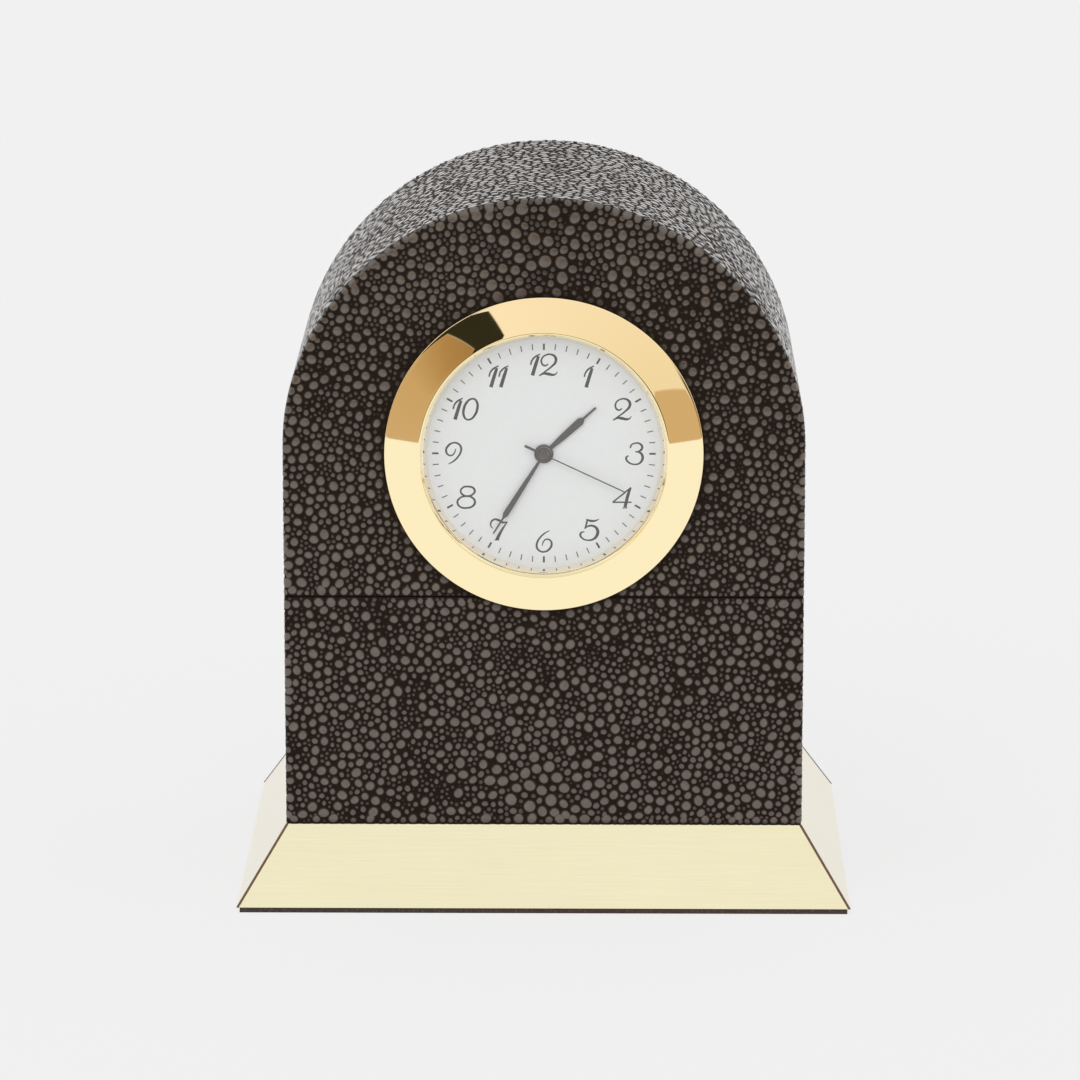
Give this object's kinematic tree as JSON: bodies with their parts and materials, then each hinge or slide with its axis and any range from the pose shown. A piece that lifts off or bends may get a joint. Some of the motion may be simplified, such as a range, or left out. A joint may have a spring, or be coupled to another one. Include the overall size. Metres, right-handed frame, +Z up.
{
  "type": "beehive shelf clock",
  "caption": "Small beehive shelf clock: arched block covered in pebbled skin on a sloped brass plinth, with a round gilt quartz insert that pulls out of its bore.",
  "frame": {"origin": "middle of the foot's underside", "axes": "+Z up; the dial faces -Y; +X is to the right of someone who reads the dial"},
  "size_m": [0.097, 0.0758, 0.113],
  "materials": {
    "shagreen": "pebbled skin, polished pebbles",
    "block_wood": "plain machined board",
    "plinth_brass": "satin brushed lengthwise",
    "base_leather": "fine grained, dark brown",
    "screw_steel": "zinc plated",
    "bezel_gold": "polished and gilt",
    "lens_glass": "clear and polished",
    "dial_paint": "matt white",
    "hand_paint": "dark grey satin",
    "case_plastic": "moulded black",
    "grip_rubber": "matt",
    "frame_plastic": "moulded ivory",
    "gear_plastic": "moulded white",
    "gear_brass": "cut brass",
    "iron": "stamped soft iron",
    "copper": "enamelled copper winding",
    "board": "green lacquer",
    "chip_resin": "black resin",
    "steel": "nickel plated",
    "magnet": "sintered magnet"
  },
  "bodies": {
    "case": {"body_core": "block_wood", "arch_skin": "shagreen", "front_skin_upper": "shagreen", "front_skin_lower": "shagreen", "back_skin_upper": "shagreen", "back_skin_lower": "shagreen", "plinth_core": "block_wood", "plinth_plate_front": "plinth_brass", "plinth_plate_back": "plinth_brass", "plinth_plate_left": "plinth_brass", "plinth_plate_right": "plinth_brass", "base_pad": "base_leather", "case_screws": "screw_steel"},
    "insert": {"bezel": "bezel_gold", "lens": "lens_glass", "reflector_ring": "bezel_gold", "dial": "dial_paint", "insert_case": "case_plastic", "grip_ring": "grip_rubber", "main_plate": "frame_plastic", "train_bridge": "frame_plastic", "movement_screws": "steel", "stator": "iron", "coil_core": "iron", "coil": "copper", "circuit_board": "board", "chip": "chip_resin", "quartz_crystal": "steel", "battery": "steel", "contact_plus": "steel", "contact_minus": "steel", "rear_cover": "case_plastic"},
    "hours": {"hour_hand": "hand_paint", "hour_wheel": "gear_plastic"},
    "minutes": {"minute_hand": "hand_paint", "cannon_pinion": "gear_brass"},
    "seconds": {"second_hand": "hand_paint", "second_wheel": "gear_plastic"},
    "minute_works": {"minute_works_wheel": "gear_plastic"},
    "third": {"third_wheel": "gear_plastic"},
    "centre": {"centre_wheel": "gear_brass"},
    "intermediate": {"intermediate_wheel": "gear_plastic"},
    "rotor": {"rotor_pinion": "gear_plastic", "rotor_magnet": "magnet"},
    "knob": {"knob_shaft": "steel", "setting_knob": "case_plastic"},
    "cap": {"battery_cap": "case_plastic"}
  },
  "joints": [
    {"name": "insert_slide", "type": "slide", "parent": "case", "child": "insert", "axis": [0, -1, 0], "range_m": [0, 0.03]},
    {"name": "minute_hand_spin", "type": "hinge", "parent": "insert", "child": "minutes", "pos_m": [0, -0.03025, 0.0727], "axis": [0, 1, 0], "continuous": true},
    {"name": "second_hand_spin", "type": "hinge", "parent": "insert", "child": "seconds", "pos_m": [0, -0.03025, 0.0727], "axis": [0, 1, 0], "continuous": true},
    {"name": "hour_hand_spin", "type": "hinge", "parent": "insert", "child": "hours", "pos_m": [0, -0.03025, 0.0727], "axis": [0, 1, 0], "continuous": true},
    {"name": "minute_works_spin", "type": "hinge", "parent": "insert", "child": "minute_works", "pos_m": [0.0025, -0.03025, 0.07703], "axis": [0, 1, 0], "continuous": true},
    {"name": "setting_knob_spin", "type": "hinge", "parent": "insert", "child": "knob", "pos_m": [0.005, -0.03025, 0.08136], "axis": [0, 1, 0], "continuous": true},
    {"name": "third_wheel_spin", "type": "hinge", "parent": "insert", "child": "third", "pos_m": [-0.00624, -0.03025, 0.0763], "axis": [0, 1, 0], "continuous": true},
    {"name": "centre_wheel_spin", "type": "hinge", "parent": "insert", "child": "centre", "pos_m": [0, -0.03025, 0.0727], "axis": [0, 1, 0], "continuous": true},
    {"name": "intermediate_wheel_spin", "type": "hinge", "parent": "insert", "child": "intermediate", "pos_m": [0.0059, -0.03025, 0.06857], "axis": [0, 1, 0], "continuous": true},
    {"name": "rotor_spin", "type": "hinge", "parent": "insert", "child": "rotor", "pos_m": [0.00984, -0.03025, 0.06713], "axis": [0, 1, 0], "continuous": true},
    {"name": "battery_cap_turn", "type": "hinge", "parent": "insert", "child": "cap", "pos_m": [-0.0096, -0.03025, 0.06349], "axis": [0, 1, 0], "range_deg": [0, 60]}
  ],
  "couplings": [
    {"joint": "hour_hand_spin", "follows": "minute_hand_spin", "ratio": 0.083333},
    {"joint": "minute_works_spin", "follows": "minute_hand_spin", "ratio": -0.33333},
    {"joint": "setting_knob_spin", "follows": "minute_hand_spin", "ratio": 1},
    {"joint": "third_wheel_spin", "follows": "second_hand_spin", "ratio": -0.13333},
    {"joint": "centre_wheel_spin", "follows": "second_hand_spin", "ratio": 0.016667},
    {"joint": "intermediate_wheel_spin", "follows": "second_hand_spin", "ratio": -5},
    {"joint": "rotor_spin", "follows": "second_hand_spin", "ratio": 30}
  ]
}
